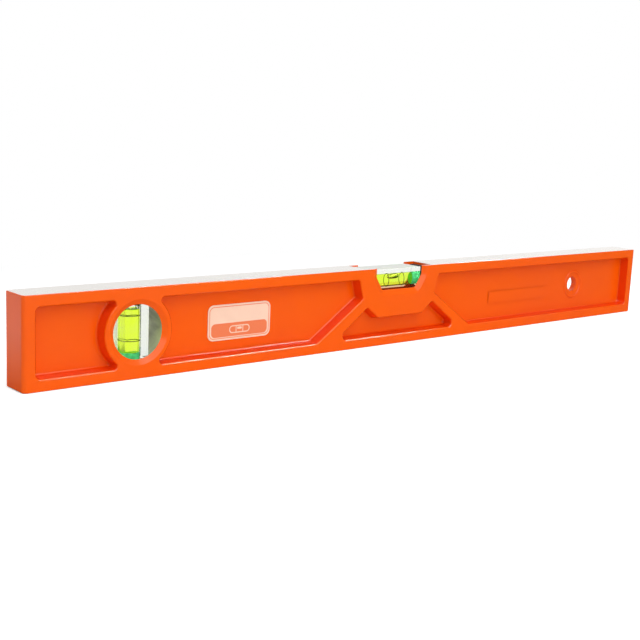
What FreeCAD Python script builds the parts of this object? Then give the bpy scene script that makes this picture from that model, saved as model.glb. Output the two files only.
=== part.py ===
import FreeCAD, Part
import Sketcher
import os
import re

# A cast beam level. X runs along the beam, Y across it, Z up. The origin is the
# middle of the milled base, and the face with the label looks towards -Y.

V = FreeCAD.Vector
SAME = 0.01
doc = FreeCAD.newDocument("magnetic_spirit_level")
sheet = doc.addObject("Spreadsheet::Sheet", "sizes")

# Driving dimensions, in millimetres and degrees.
driving_dimensions = {
    # beam
    "beam_length": 600.0,
    "beam_height": 57.2,
    "beam_width": 24.0,
    "corner_round": 3.0,
    "edge_break": 0.5,
    "web_thickness": 6.5,
    "flange_height": 7.2,
    "end_wall": 8.1,
    "draft_angle": 5.0,
    "floor_bevel": 1.2,
    "rim_break": 1.0,
    # corners of the recesses
    "panel_corner": 3.5,
    "brace_corner": 2.6,
    "boss_corner": 2.4,
    # braces, and the crown-shaped pocket under the level window
    "brace_top": 41.0,
    "brace_knee": 36.8,
    "brace_knee_height": 35.9,
    "brace_foot": 79.2,
    "crown_shift": 1.8,
    "crown_valley": 22.7,
    "crown_valley_height": 20.8,
    "crown_peak": 33.6,
    "crown_peak_height": 29.3,
    "crown_foot": 64.0,
    # level vial and its window
    "level_block_length": 61.0,
    "level_block_height": 19.0,
    "level_axis_drop": 10.0,
    "level_pad_thickness": 3.0,
    "level_pad_drop": 0.8,
    "window_top": 23.3,
    "window_knee_drop": 6.5,
    "window_bottom": 17.0,
    "window_drop": 16.3,
    "window_corner": 3.0,
    "bevel_width": 4.0,
    "bevel_depth": 2.0,
    # plumb vial, its window and its boss
    "plumb_end_distance": 76.5,
    "plumb_axis_rise": 0.45,
    "plumb_bevel_width": 3.4,
    "boss_overlap": 2.45,
    "boss_rim": 3.15,
    "plumb_block_width": 17.0,
    "plumb_block_inset": 4.75,
    "plumb_pad_thickness": 1.2,
    "plumb_vial_rise": 1.4,
    # both vials
    "block_depth": 19.0,
    "block_clearance": 0.1,
    "block_chamfer": 0.4,
    "bore_diameter": 9.6,
    "ring_spacing": 15.8,
    "ring_width": 0.9,
    "ring_thickness": 0.25,
    "level_barrel_reach": 22.0,
    "plumb_barrel_inset": 3.7,
    "plumb_surface_reach": 11.4,
    "bubble_length": 14.0,
    "bubble_width": 7.0,
    "bubble_height": 4.2,
    # hang hole with its collar
    "hang_end_distance": 78.6,
    "hang_axis_rise": 0.7,
    "hang_diameter": 12.6,
    "collar_diameter": 25.4,
    "collar_width": 3.4,
    "collar_flank": 1.0,
    "collar_rise": 1.0,
    "dish_depth": 0.7,
    # bare cast pad on the web beside the hang hole
    "pad_length": 74.1,
    "pad_distance": 37.9,
    "pad_drop": 8.8,
    "pad_height": 9.4,
    "pad_rise": 0.9,
    # label plate
    "label_distance": 82.1,
    "label_drop": 0.8,
    "label_length": 51.4,
    "label_height": 24.0,
    "label_corner": 4.5,
    "label_thickness": 0.5,
    # magnets in the base
    "magnet_length": 24.0,
    "magnet_width": 10.0,
    "magnet_thickness": 5.0,
    "magnet_clearance": 0.1,
    "magnet_inset": 0.1,
    "magnet_end_distance": 38.0,
    "magnet_spacing": 157.0,
}
# Sizes that follow from the driving ones.
derived_dimensions = {
    "half_length": "beam_length / 2",
    "half_width": "beam_width / 2",
    "half_web": "web_thickness / 2",
    "recess_depth": "(beam_width - web_thickness) / 2",
    "panel_top": "beam_height - flange_height",
    "panel_end": "beam_length / 2 - end_wall",
    "boss_diameter": "beam_height - 2 * (flange_height - boss_overlap)",
    "plumb_window_diameter": "boss_diameter - 2 * (boss_rim + plumb_bevel_width)",
    "plumb_block_height": "boss_diameter - 2 * plumb_block_inset",
    "plumb_barrel_reach": "plumb_block_height / 2 - plumb_barrel_inset",
    "plumb_place": "beam_length / 2 - plumb_end_distance",
    "plumb_axis_height": "beam_height / 2 + plumb_axis_rise",
    "plumb_vial_height": "plumb_axis_height + plumb_vial_rise",
    "hang_place": "beam_length / 2 - hang_end_distance",
    "hang_axis_height": "beam_height / 2 + hang_axis_rise",
    "pad_end": "hang_place - pad_distance",
    "pad_bottom": "hang_axis_height - pad_drop",
    "label_place": "plumb_place - label_distance",
    "label_axis_height": "beam_height / 2 - label_drop",
    "magnet_outer_place": "beam_length / 2 - magnet_end_distance",
    "magnet_inner_place": "magnet_outer_place - magnet_spacing",
    "half_block": "block_depth / 2",
    "half_seat": "block_depth / 2 + block_clearance",
    "level_axis_height": "beam_height - level_axis_drop",
    "level_floor": "beam_height - level_block_height",
    "level_block_end": "level_block_length / 2",
    "level_pad_end": "level_block_length / 2 + level_pad_thickness",
    "plumb_seat_side": "plumb_block_width / 2 + block_clearance",
    "plumb_block_bottom": "plumb_axis_height - plumb_block_height / 2",
    "plumb_block_top": "plumb_axis_height + plumb_block_height / 2",
    "bore_radius": "bore_diameter / 2",
}


def fill_sheet():
    """Writes the two lists into the sheet, one row for each size."""
    row = 0
    for name, value in driving_dimensions.items():
        row += 1
        sheet.set(f"A{row}", name)
        sheet.set(f"B{row}", str(value))
        sheet.setAlias(f"B{row}", name)
    for name, text in derived_dimensions.items():
        row += 1
        sheet.set(f"A{row}", name)
        sheet.set(f"B{row}", "=" + text)
        sheet.setAlias(f"B{row}", name)
    doc.recompute()


fill_sheet()


def bound(text):
    """A formula in size names, as an expression for an object outside the sheet."""
    return re.sub(r"\b(?!sqrt\b)([a-z]\w*)", r"sizes.\1", text)


def size(text):
    """The present value of a formula in size names."""
    return float(sheet.evalExpression(text))


# Sketches and features

def new_body(name):
    """An empty body whose label is the name of the sub-part."""
    body = doc.addObject("PartDesign::Body", name)
    body.Label = name
    return body


def origin_plane(body, role):
    """One of the body's own origin planes, such as XY_Plane."""
    return next(f for f in body.Origin.OriginFeatures if f.Role == role)


def new_sketch(body, name, role, shift=("0", "0", "0"), turn=0):
    """A sketch on an origin plane, moved by three formulas in the plane's own axes.

    The turn, in degrees, is about the sketch's normal.
    """
    sketch = body.newObject("Sketcher::SketchObject", name)
    sketch.AttachmentSupport = [(origin_plane(body, role), "")]
    sketch.MapMode = "FlatFace"
    place = V(*[size(text) for text in shift])
    rotation = FreeCAD.Rotation(V(0, 0, 1), turn)
    sketch.AttachmentOffset = FreeCAD.Placement(place, rotation)
    for axis, text in zip("xyz", shift):
        if text != "0":
            sketch.setExpression(f"AttachmentOffset.Base.{axis}", bound(text))
    return sketch


def dimension(sketch, kind, targets, text):
    """A dimension of the sketch, bound to a formula."""
    index = sketch.addConstraint(Sketcher.Constraint(kind, *targets, size(text)))
    sketch.setExpression(f"Constraints[{index}]", bound(text))


def pin_point(sketch, geometry, end, x, y):
    """Places one end of a line or arc, or a centre, by two formulas."""
    dimension(sketch, "DistanceX", (-1, 1, geometry, end), x)
    dimension(sketch, "DistanceY", (-1, 1, geometry, end), y)


def add_outline(sketch, corners):
    """A closed outline of straight lines through corners given as formulas."""
    points = [V(size(x), size(y), 0) for x, y in corners]
    count = len(points)
    base = sketch.GeometryCount
    for i, start in enumerate(points):
        sketch.addGeometry(Part.LineSegment(start, points[(i + 1) % count]), False)
    for i in range(count):
        after = base + (i + 1) % count
        sketch.addConstraint(Sketcher.Constraint("Coincident", base + i, 2, after, 1))
    for i, (x, y) in enumerate(corners):
        pin_point(sketch, base + i, 1, x, y)


def add_rectangle(sketch, left, right, bottom, top):
    """A rectangle from four formulas."""
    add_outline(sketch, [(left, bottom), (right, bottom), (right, top), (left, top)])


def add_circle(sketch, x, y, diameter):
    """A circle from formulas for its centre and its diameter."""
    circle = Part.Circle(V(size(x), size(y), 0), V(0, 0, 1), size(diameter) / 2)
    index = sketch.addGeometry(circle, False)
    pin_point(sketch, index, 3, x, y)
    dimension(sketch, "Diameter", (index,), diameter)


def add_oval(sketch, length, width):
    """An oval about the sketch's origin, with round ends and straight sides."""
    reach = f"({length} - {width}) / 2"
    radius = f"{width} / 2"
    half = size(radius)
    far = size(reach)
    for side in (1, -1):
        circle = Part.Circle(V(side * far, 0, 0), V(0, 0, 1), half)
        ends = [circle.parameter(V(side * far, side * end, 0)) for end in (-half, half)]
        sketch.addGeometry(Part.ArcOfCircle(circle, *ends), False)
    right, left = 0, 1
    top = sketch.addGeometry(Part.LineSegment(V(far, half, 0), V(-far, half, 0)), False)
    base = sketch.addGeometry(Part.LineSegment(V(-far, -half, 0), V(far, -half, 0)), False)
    for first, second in ((right, top), (top, left), (left, base), (base, right)):
        sketch.addConstraint(Sketcher.Constraint("Tangent", first, 2, second, 1))
    pin_point(sketch, right, 3, reach, "0")
    pin_point(sketch, left, 3, "-" + reach, "0")
    dimension(sketch, "Radius", (right,), radius)


def add_pad(body, name, sketch, length, backwards=False):
    """A pad of a sketch, along its normal or backwards."""
    pad = body.newObject("PartDesign::Pad", name)
    pad.Refine = False
    pad.Profile = sketch
    pad.Reversed = backwards
    pad.setExpression("Length", bound(length))
    doc.recompute()
    return pad


def add_pocket(body, name, sketch, length, backwards=False):
    """A pocket of a sketch, against its normal or along it, that has to remove metal."""
    before = body.Shape.Volume
    pocket = body.newObject("PartDesign::Pocket", name)
    pocket.Refine = False
    pocket.Profile = sketch
    pocket.Reversed = backwards
    pocket.setExpression("Length", bound(length))
    doc.recompute()
    if not body.Shape.Volume < before:
        raise RuntimeError(f"{name} cuts nothing")
    return pocket


def add_turned(body, kind, name, sketch):
    """A revolution or a groove about the sketch's vertical axis."""
    turned = body.newObject("PartDesign::" + kind, name)
    turned.Refine = False
    turned.Profile = sketch
    turned.ReferenceAxis = (sketch, ["V_Axis"])
    turned.Angle = 360
    doc.recompute()
    return turned


def edges_where(body, test):
    """Names of the edges of a body that pass a test."""
    return [f"Edge{i}" for i, edge in enumerate(body.Shape.Edges, start=1) if test(edge)]


def add_fillet(body, name, radius, edges):
    """A fillet of a bound radius on edges given by name."""
    if not edges:
        raise RuntimeError(f"{name} finds no edge")
    base = body.Tip
    fillet = body.newObject("PartDesign::Fillet", name)
    fillet.Base = (base, edges)
    fillet.setExpression("Radius", bound(radius))
    doc.recompute()
    return fillet


def add_chamfer(body, name, edges, first, second=None):
    """A chamfer of one bound size, or of two, on edges given by name."""
    if not edges:
        raise RuntimeError(f"{name} finds no edge")
    base = body.Tip
    chamfer = body.newObject("PartDesign::Chamfer", name)
    chamfer.Base = (base, edges)
    chamfer.setExpression("Size", bound(first))
    if second:
        chamfer.ChamferType = "Two distances"
        chamfer.setExpression("Size2", bound(second))
    doc.recompute()
    return chamfer


def add_draft(body, name, neutral, walls):
    """Leans walls by the draft angle, so that they close in behind a flat face."""
    base = body.Tip
    draft = body.newObject("PartDesign::Draft", name)
    draft.Base = (base, walls)
    draft.NeutralPlane = (base, neutral)
    draft.Reversed = True
    draft.setExpression("Angle", bound("draft_angle"))
    doc.recompute()


def close_to(value, target, within=SAME):
    """Whether two lengths agree."""
    return abs(value - target) < within


def ends_at(edge, heights):
    """Whether the two ends of an edge lie at the two distances from the middle plane."""
    found = sorted(abs(v.Point.y) for v in edge.Vertexes)
    return len(found) == 2 and all(close_to(a, b) for a, b in zip(found, sorted(heights)))


# Frame

boss_reach_top = "sqrt((boss_diameter / 2)^2 - (panel_top - plumb_axis_height)^2)"
boss_reach_bottom = "sqrt((boss_diameter / 2)^2 - (plumb_axis_height - flange_height)^2)"

end_corners = [(side + "panel_end", z) for side in ("-", "") for z in ("flange_height", "panel_top")]
crown_feet = [
    ("crown_shift - crown_foot", "flange_height"),
    ("crown_shift + crown_foot", "flange_height"),
]
brace_feet = [("-brace_foot", "flange_height"), ("brace_foot", "flange_height")]
brace_corners = [
    (side + x, z)
    for side in ("-", "")
    for x, z in (("brace_knee", "brace_knee_height"), ("brace_top", "panel_top"))
]
crown_corners = [
    (f"crown_shift {sign} {name}", name + "_height")
    for sign in "-+"
    for name in ("crown_valley", "crown_peak")
]
boss_corners = [
    (f"-plumb_place {sign} {reach}", height)
    for sign in "-+"
    for reach, height in ((boss_reach_top, "panel_top"), (boss_reach_bottom, "flange_height"))
]


def panel_outline(side):
    """Corners of a long recess, from its end wall to its brace."""
    return [
        (side + "panel_end", "flange_height"),
        (side + "brace_foot", "flange_height"),
        (side + "brace_knee", "brace_knee_height"),
        (side + "brace_top", "panel_top"),
        (side + "panel_end", "panel_top"),
    ]


def crown_outline():
    """Corners of the pocket under the window, whose top edge dips between two peaks."""
    return [
        ("crown_shift - crown_foot", "flange_height"),
        ("crown_shift + crown_foot", "flange_height"),
        ("crown_shift + crown_peak", "crown_peak_height"),
        ("crown_shift + crown_valley", "crown_valley_height"),
        ("crown_shift - crown_valley", "crown_valley_height"),
        ("crown_shift - crown_peak", "crown_peak_height"),
    ]


def cut_recesses(body, side, face_place, backwards):
    """Panels and crown pocket in one face, with the boss left standing."""
    face = ("0", "0", face_place)
    recesses = new_sketch(body, side + "_recess_outlines", "XZ_Plane", face)
    add_outline(recesses, panel_outline("-"))
    add_outline(recesses, panel_outline(""))
    add_outline(recesses, crown_outline())
    add_pocket(body, side + "_recesses", recesses, "recess_depth", backwards)
    circle = new_sketch(body, side + "_boss_outline", "XZ_Plane", face)
    add_circle(circle, "-plumb_place", "plumb_axis_height", "boss_diameter")
    add_pad(body, side + "_boss", circle, "recess_depth", not backwards)


def wall_edges(body, corners):
    """Edges that run from the face to the web at the given corners of the recesses."""
    places = [V(size(x), 0, size(z)) for x, z in corners]
    depths = (size("half_web"), size("half_width"))

    def at_corner(edge):
        if not ends_at(edge, depths):
            return False
        end = edge.Vertexes[0].Point
        return any(V(end.x, 0, end.z).distanceToPoint(place) < SAME for place in places)

    return edges_where(body, at_corner)


def round_corners(body):
    """Corner radii of the recesses, while their walls are still square to the faces."""
    add_fillet(body, "end_corner_rounds", "panel_corner", wall_edges(body, end_corners + crown_feet))
    slanted = wall_edges(body, brace_corners + brace_feet + crown_corners)
    add_fillet(body, "brace_corner_rounds", "brace_corner", slanted)
    add_fillet(body, "boss_corner_rounds", "boss_corner", wall_edges(body, boss_corners))


def lean_walls(body, side, direction):
    """Gives the walls of one side's recesses the draft that the casting needs."""
    depths = (size("half_web"), size("half_width"))
    faces = list(enumerate(body.Shape.Faces, start=1))
    on_side = [(i, face) for i, face in faces if face.BoundBox.Center.y * direction > 0]

    def is_wall(face):
        reach = sorted((abs(face.BoundBox.YMin), abs(face.BoundBox.YMax)))
        return all(close_to(found, depth) for found, depth in zip(reach, depths))

    walls = [f"Face{i}" for i, face in on_side if is_wall(face)]
    outermost = max(on_side, key=lambda pair: (abs(pair[1].BoundBox.Center.y), pair[1].Area))
    add_draft(body, side + "_draft", [f"Face{outermost[0]}"], walls)


def bevel_recesses(body):
    """The bevel round the recess floors, and the small break round their rims."""
    half_web = size("half_web")
    half_width = size("half_width")
    floor_edges = edges_where(body, lambda edge: ends_at(edge, (half_web, half_web)))
    add_chamfer(body, "floor_bevels", floor_edges, "floor_bevel")
    low = size("flange_height") - SAME
    high = size("panel_top") + SAME
    peak = size("crown_peak_height") + SAME
    brace = size("brace_knee") - SAME
    boss_axis = V(size("-plumb_place"), 0, size("plumb_axis_height"))
    boss_radius = size("boss_diameter / 2") - SAME

    def on_rim(edge):
        ends = [vertex.Point for vertex in edge.Vertexes]
        if not ends_at(edge, (half_width, half_width)):
            return False
        in_height = all(low < end.z < high for end in ends)
        by_window = all(end.z > peak and abs(end.x) < brace for end in ends)
        in_boss = all(V(end.x, 0, end.z).distanceToPoint(boss_axis) < boss_radius for end in ends)
        return in_height and not by_window and not in_boss

    add_chamfer(body, "rim_breaks", edges_where(body, on_rim), "rim_break")


def add_hang_hole(body):
    """The hang hole in its dished collar, alike on both sides of the web."""
    outer = "collar_diameter / 2"
    inner = "collar_diameter / 2 - collar_width"
    crest = "-half_web - collar_rise"
    collar_section = [
        (outer, "-half_web"),
        (f"{outer} - collar_flank", crest),
        (f"{inner} + collar_flank", crest),
        (inner, "-half_web"),
        (inner, "0"),
        (outer, "0"),
    ]
    dish_section = [
        ("0", crest),
        (inner, crest),
        (inner, "-half_web"),
        ("hang_diameter / 2", "dish_depth - half_web"),
        ("0", "dish_depth - half_web"),
    ]
    axis = ("hang_place", "0", "hang_axis_height")
    section = new_sketch(body, "collar_section", "XY_Plane", axis)
    add_outline(section, collar_section)
    collar = add_turned(body, "Revolution", "collar", section)
    section = new_sketch(body, "dish_section", "XY_Plane", axis)
    add_outline(section, dish_section)
    dish = add_turned(body, "Groove", "dish", section)
    mirrored = body.newObject("PartDesign::Mirrored", "back_collar")
    mirrored.Refine = False
    mirrored.Originals = [collar, dish]
    mirrored.MirrorPlane = (origin_plane(body, "XZ_Plane"), [""])
    body.Tip = mirrored
    doc.recompute()
    circle = new_sketch(body, "hang_circle", "XZ_Plane", ("0", "0", "half_width"))
    add_circle(circle, "hang_place", "hang_axis_height", "hang_diameter")
    add_pocket(body, "hang_hole", circle, "beam_width")


def add_cast_pad(body):
    """The bare raised pad on the front of the web."""
    outline = new_sketch(body, "cast_pad_outline", "XZ_Plane", ("0", "0", "half_web"))
    add_rectangle(outline, "pad_end - pad_length", "pad_end", "pad_bottom", "pad_bottom + pad_height")
    add_pad(body, "cast_pad", outline, "pad_rise")


def cut_plumb_window(body):
    """The round window through the boss, bevelled on both faces, with its seat for the block."""
    section = new_sketch(body, "window_section", "XY_Plane", ("-plumb_place", "0", "plumb_axis_height"))
    radius = "plumb_window_diameter / 2"
    rim = radius + " + plumb_bevel_width"
    bevelled = [
        ("0", "-half_width"),
        (rim, "-half_width"),
        (radius, "bevel_depth - half_width"),
        (radius, "half_width - bevel_depth"),
        (rim, "half_width"),
        ("0", "half_width"),
    ]
    add_outline(section, bevelled)
    add_turned(body, "Groove", "plumb_window", section)
    seat = new_sketch(body, "plumb_seat_outline", "XZ_Plane", ("0", "0", "half_seat"))
    add_rectangle(
        seat,
        "-plumb_place - plumb_seat_side",
        "-plumb_place + plumb_seat_side",
        "plumb_block_bottom - plumb_pad_thickness",
        "plumb_block_top + plumb_pad_thickness",
    )
    add_pocket(body, "plumb_seat", seat, "half_seat + half_width")


def cut_level_window(body):
    """The notch under the top face, open at the front and back, with a bevel round each."""
    window = new_sketch(body, "level_window_outline", "XZ_Plane", ("0", "0", "half_width"))
    knee = "beam_height - window_knee_drop"
    sill = "beam_height - window_drop"
    above = "beam_height + window_corner"
    half_outline = [("window_bottom", sill), ("window_top", knee), ("window_top", above)]
    other_half = [("-" + x, z) for x, z in reversed(half_outline)]
    add_outline(window, half_outline + other_half)
    add_pocket(body, "level_window", window, "beam_width")
    places = [(size(x), size(z)) for x, z in half_outline[:2]]

    def is_corner(edge):
        ends = [v.Point for v in edge.Vertexes]
        same_place = len(ends) == 2 and not close_to(ends[0].y, ends[1].y)
        return same_place and any(
            close_to(abs(ends[0].x), x) and close_to(ends[0].z, z) for x, z in places
        )

    add_fillet(body, "window_corner_rounds", "window_corner", edges_where(body, is_corner))
    half_width = size("half_width")
    reach = size("window_top")

    def is_rim(edge):
        inside = all(abs(v.Point.x) < reach + 0.01 for v in edge.Vertexes)
        return inside and ends_at(edge, (half_width, half_width)) and edge.BoundBox.YLength < 0.01

    rim = edges_where(body, lambda e: is_rim(e) and e.BoundBox.ZMin > 1)
    add_chamfer(body, "window_bevels", rim, "bevel_width", "bevel_depth")


def cut_level_pocket(body):
    """The pocket in the top for the level block and its two pads."""
    pocket = new_sketch(body, "level_pocket_outline", "XY_Plane", ("0", "0", "beam_height"))
    add_rectangle(pocket, "-level_pad_end", "level_pad_end", "-half_seat", "half_seat")
    add_pocket(body, "level_pocket", pocket, "level_block_height")


magnet_places = {
    "magnet_1": "-magnet_outer_place",
    "magnet_2": "-magnet_inner_place",
    "magnet_3": "magnet_inner_place",
    "magnet_4": "magnet_outer_place",
}


def cut_magnet_seats(body):
    """Blind seats in the base, a little deeper than the magnets."""
    outlines = new_sketch(body, "magnet_seat_outlines", "XY_Plane")
    half = "magnet_length / 2 + magnet_clearance"
    side = "magnet_width / 2 + magnet_clearance"
    for place in magnet_places.values():
        add_rectangle(outlines, f"{place} - ({half})", f"{place} + {half}", f"-({side})", side)
    add_pocket(body, "magnet_seats", outlines, "magnet_thickness + magnet_inset", backwards=True)


def break_long_edges(body):
    """A small chamfer along the outlines of the milled top and base."""
    half_width = size("half_width")
    corner = size("half_length - corner_round") - 0.01

    def on_outline(edge):
        ends = [v.Point for v in edge.Vertexes]
        on_side = all(close_to(abs(p.y), half_width) or abs(p.x) > corner for p in ends)
        across = len(ends) == 2 and close_to(ends[0].x, ends[1].x) and abs(ends[0].x) < corner
        return edge.BoundBox.ZLength < 0.01 and on_side and not across

    add_chamfer(body, "edge_breaks", edges_where(body, on_outline), "edge_break")


def make_frame():
    """The cast beam: one piece, painted, with its top and base milled bare."""
    body = new_body("frame")
    plan = new_sketch(body, "plan", "XY_Plane")
    add_rectangle(plan, "-half_length", "half_length", "-half_width", "half_width")
    add_pad(body, "beam", plan, "beam_height")
    upright = edges_where(body, lambda e: close_to(abs(e.tangentAt(e.FirstParameter).z), 1))
    add_fillet(body, "upright_rounds", "corner_round", upright)
    cut_level_window(body)
    break_long_edges(body)
    cut_recesses(body, "front", "half_width", False)
    cut_recesses(body, "back", "-half_width", True)
    round_corners(body)
    lean_walls(body, "front", -1)
    lean_walls(body, "back", 1)
    cut_level_pocket(body)
    cut_plumb_window(body)
    cut_magnet_seats(body)
    bevel_recesses(body)
    add_hang_hole(body)
    add_cast_pad(body)
    return body


# Vials

def turn_about_bore(body, kind, name, sketch):
    """A revolution or a groove about the sketch's horizontal axis, where the bore lies."""
    turned = body.newObject("PartDesign::" + kind, name)
    turned.Profile = sketch
    turned.ReferenceAxis = (sketch, ["H_Axis"])
    turned.Angle = 360
    doc.recompute()
    return turned


def bore_sketch(body, name, vial):
    """A sketch whose horizontal axis is the vial's bore and whose origin is its middle."""
    return new_sketch(body, name, "XZ_Plane", vial["middle"], vial["turn"])


vials = {
    "level": {
        "turn": 0,
        "middle": ("0", "level_axis_height", "0"),
        "block": ("-level_block_end", "level_block_end", "level_floor", "beam_height"),
        "reach": "level_barrel_reach",
        "mouth": "level_block_end",
        "rings": {"left": "-ring_spacing / 2", "right": "ring_spacing / 2"},
    },
    "plumb": {
        "turn": -90,
        "middle": ("-plumb_place", "plumb_vial_height", "0"),
        "block": (
            "-plumb_place - plumb_block_width / 2",
            "-plumb_place + plumb_block_width / 2",
            "plumb_block_bottom",
            "plumb_block_top",
        ),
        "reach": "plumb_barrel_reach",
        "mouth": "plumb_vial_height - plumb_block_bottom",
        "rings": {"upper": "-ring_spacing / 2", "lower": "ring_spacing / 2"},
    },
}


def ring_section(sketch, place):
    """The section of a graduation ring at a place along the bore."""
    left = f"{place} - ring_width / 2"
    right = f"{place} + ring_width / 2"
    add_rectangle(sketch, left, right, "bore_radius", "bore_radius + ring_thickness")


def make_block(name, vial):
    """A clear block with a blind bore, open at the plug's end, and two ring grooves in it."""
    body = new_body(name)
    outline = new_sketch(body, name + "_outline", "XZ_Plane", ("0", "0", "half_block"))
    add_rectangle(outline, *vial["block"])
    add_pad(body, name + "_pad", outline, "block_depth", backwards=True)
    every_edge = edges_where(body, lambda edge: True)
    add_chamfer(body, name + "_edges", every_edge, "block_chamfer")
    section = bore_sketch(body, name + "_bore_section", vial)
    add_rectangle(section, "-" + vial["reach"], vial["mouth"], "0", "bore_radius")
    turn_about_bore(body, "Groove", name + "_bore", section)
    for place, along in vial["rings"].items():
        section = bore_sketch(body, f"{name}_{place}_groove", vial)
        ring_section(section, along)
        turn_about_bore(body, "Groove", f"{name}_{place}_cut", section)
    return body


def make_ring(name, vial, along):
    """One graduation ring, let into the wall of the bore."""
    body = new_body(name)
    section = bore_sketch(body, name + "_section", vial)
    ring_section(section, along)
    turn_about_bore(body, "Revolution", name + "_turned", section)
    return body


def make_level_liquid():
    """The liquid of the level vial, with the hollow of its oval bubble at the top."""
    vial = vials["level"]
    body = new_body("level_liquid")
    section = bore_sketch(body, "level_liquid_section", vial)
    add_rectangle(section, "-" + vial["reach"], vial["reach"], "0", "bore_radius")
    turn_about_bore(body, "Revolution", "level_liquid_turned", section)
    outline = new_sketch(body, "bubble_outline", "XY_Plane", ("0", "0", "beam_height"))
    add_oval(outline, "bubble_length", "bubble_width")
    add_pocket(body, "bubble", outline, "level_axis_drop - bore_radius + bubble_height")
    return body


def make_plumb_liquid():
    """The liquid of the plumb vial: its bubble fills the top of the upright bore."""
    vial = vials["plumb"]
    body = new_body("plumb_liquid")
    section = bore_sketch(body, "plumb_liquid_section", vial)
    add_rectangle(section, "-" + vial["reach"], vial["reach"], "0", "bore_radius")
    turn_about_bore(body, "Revolution", "plumb_liquid_turned", section)
    outline = new_sketch(body, "plumb_air_outline", "XZ_Plane", ("0", "0", "half_block"))
    left = "-plumb_place - bore_diameter"
    right = "-plumb_place + bore_diameter"
    surface = "plumb_vial_height + plumb_surface_reach"
    add_rectangle(outline, left, right, surface, "plumb_block_top")
    add_pocket(body, "plumb_air", outline, "block_depth")
    return body


# Primitives

def set_place(item, x, y, z):
    """Binds the position of a primitive to three formulas."""
    for axis, text in zip("xyz", (x, y, z)):
        item.setExpression(f"Placement.Base.{axis}", bound(text))


def make_cylinder(name, radius, length, place, direction):
    """A plain round piece that starts at a place and runs along a direction."""
    item = doc.addObject("Part::Cylinder", name)
    item.Label = name
    item.Placement = FreeCAD.Placement(V(), FreeCAD.Rotation(V(0, 0, 1), direction))
    item.setExpression("Radius", bound(radius))
    item.setExpression("Height", bound(length))
    set_place(item, *place)
    return item


def make_box(name, lengths, place):
    """A plain rectangular piece from its lengths and its lowest corner."""
    item = doc.addObject("Part::Box", name)
    item.Label = name
    for side, text in zip(("Length", "Width", "Height"), lengths):
        item.setExpression(side, bound(text))
    set_place(item, *place)
    return item


def make_plugs():
    """The plugs that close the bores, one at the right end and one at the lower end."""
    level = make_cylinder(
        "level_plug",
        "bore_radius",
        "level_block_end - level_barrel_reach",
        ("level_barrel_reach", "0", "level_axis_height"),
        V(1, 0, 0),
    )
    plumb = make_cylinder(
        "plumb_plug",
        "bore_radius",
        "plumb_vial_height - plumb_barrel_reach - plumb_block_bottom",
        ("-plumb_place", "0", "plumb_block_bottom"),
        V(0, 0, 1),
    )
    return [level, plumb]


def make_block_pads():
    """The thin dark pads between the ends of the blocks and their seats."""
    level_size = ("level_pad_thickness", "block_depth", "level_block_height - level_pad_drop")
    plumb_size = ("plumb_block_width", "block_depth", "plumb_pad_thickness")
    side = "-plumb_place - plumb_block_width / 2"
    return [
        make_box("level_pad_left", level_size, ("-level_pad_end", "-half_block", "level_floor")),
        make_box("level_pad_right", level_size, ("level_block_end", "-half_block", "level_floor")),
        make_box("plumb_pad_upper", plumb_size, (side, "-half_block", "plumb_block_top")),
        make_box(
            "plumb_pad_lower",
            plumb_size,
            (side, "-half_block", "plumb_block_bottom - plumb_pad_thickness"),
        ),
    ]


def make_magnets():
    """Four bar magnets against the floors of their seats, just short of the base."""
    lengths = ("magnet_length", "magnet_width", "magnet_thickness")
    return [
        make_box(name, lengths, (f"{place} - magnet_length / 2", "-magnet_width / 2", "magnet_inset"))
        for name, place in magnet_places.items()
    ]


def make_label_plate():
    """The thin plate on the front of the web, with rounded corners."""
    body = new_body("label_plate")
    outline = new_sketch(body, "label_outline", "XZ_Plane", ("0", "0", "half_web"))
    add_rectangle(
        outline,
        "-label_place - label_length / 2",
        "-label_place + label_length / 2",
        "label_axis_height - label_height / 2",
        "label_axis_height + label_height / 2",
    )
    add_pad(body, "label_sheet", outline, "label_thickness")
    across = edges_where(body, lambda edge: edge.BoundBox.YLength > size("label_thickness") / 2)
    add_fillet(body, "label_corners", "label_corner", across)
    return body


def make_all():
    """Every sub-part of the level."""
    parts = [make_frame(), make_label_plate(), make_level_liquid(), make_plumb_liquid()]
    for name, vial in vials.items():
        parts.append(make_block(name + "_block", vial))
        for place, along in vial["rings"].items():
            parts.append(make_ring(f"{name}_ring_{place}", vial, along))
    return parts + make_plugs() + make_block_pads() + make_magnets()


def check_and_write(parts):
    """Stops on any failed feature or bad solid, then writes one file for each sub-part."""
    doc.recompute()
    for item in doc.Objects:
        if "Invalid" in item.State or "Error" in item.State:
            raise RuntimeError(f"{item.Label} failed: {item.State}")
    for part in parts:
        shape = part.Shape
        if shape.isNull() or not shape.isValid() or len(shape.Solids) != 1:
            raise RuntimeError(f"{part.Label} is not one valid solid")
    os.makedirs("parts", exist_ok=True)
    for part in parts:
        part.Shape.exportStep(f"parts/{part.Label}.step")
        print(f"{part.Label}: {part.Shape.Volume:.1f} mm3, {len(part.Shape.Faces)} faces")


check_and_write(make_all())
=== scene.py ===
import math

import bmesh
import bpy
from mathutils import Matrix, Vector


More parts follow.
